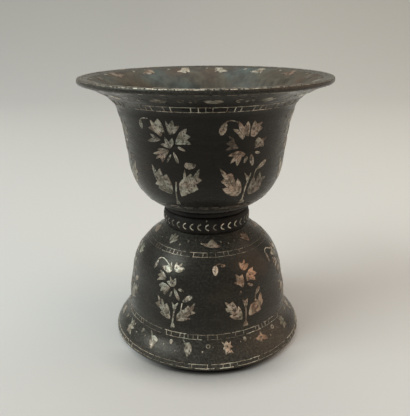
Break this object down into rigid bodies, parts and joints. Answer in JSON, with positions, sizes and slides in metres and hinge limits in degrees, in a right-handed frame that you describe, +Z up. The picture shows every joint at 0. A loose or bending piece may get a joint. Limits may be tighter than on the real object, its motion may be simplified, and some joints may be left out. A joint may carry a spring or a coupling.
{
  "type": "footed cup",
  "caption": "Waisted cup: a flaring bowl and a bell-shaped hollow foot in blackened metal, joined by a collared neck and inlaid with silver flowers and bands.",
  "frame": {"origin": "on the axis of turning, at the level the foot stands on", "axes": "+Z up along the axis of turning; -Y faces the viewer of the picture"},
  "size_m": [0.1188, 0.1188, 0.1309],
  "materials": {
    "black_alloy": "blackened zinc alloy, satin and worn",
    "grey_alloy": "bare zinc alloy, dull",
    "silver": "tarnished silver, worn satin"
  },
  "bodies": {
    "root": {"bowl": "black_alloy", "neck_collar": "black_alloy", "bead_ring": "black_alloy", "foot_bell": "black_alloy", "base_plate": "grey_alloy", "bowl_ladder": "silver", "foot_shoulder_wire": "silver", "foot_flare_wire": "silver", "foot_edge_wire": "silver", "bowl_plant_1": "silver", "bowl_plant_2": "silver", "bowl_plant_3": "silver", "bowl_plant_4": "silver", "bowl_plant_5": "silver", "bowl_plant_6": "silver", "bowl_plant_7": "silver", "foot_plant_1": "silver", "foot_plant_2": "silver", "foot_plant_3": "silver", "foot_plant_4": "silver", "foot_plant_5": "silver", "foot_plant_6": "silver", "foot_plant_7": "silver"}
  },
  "joints": []
}
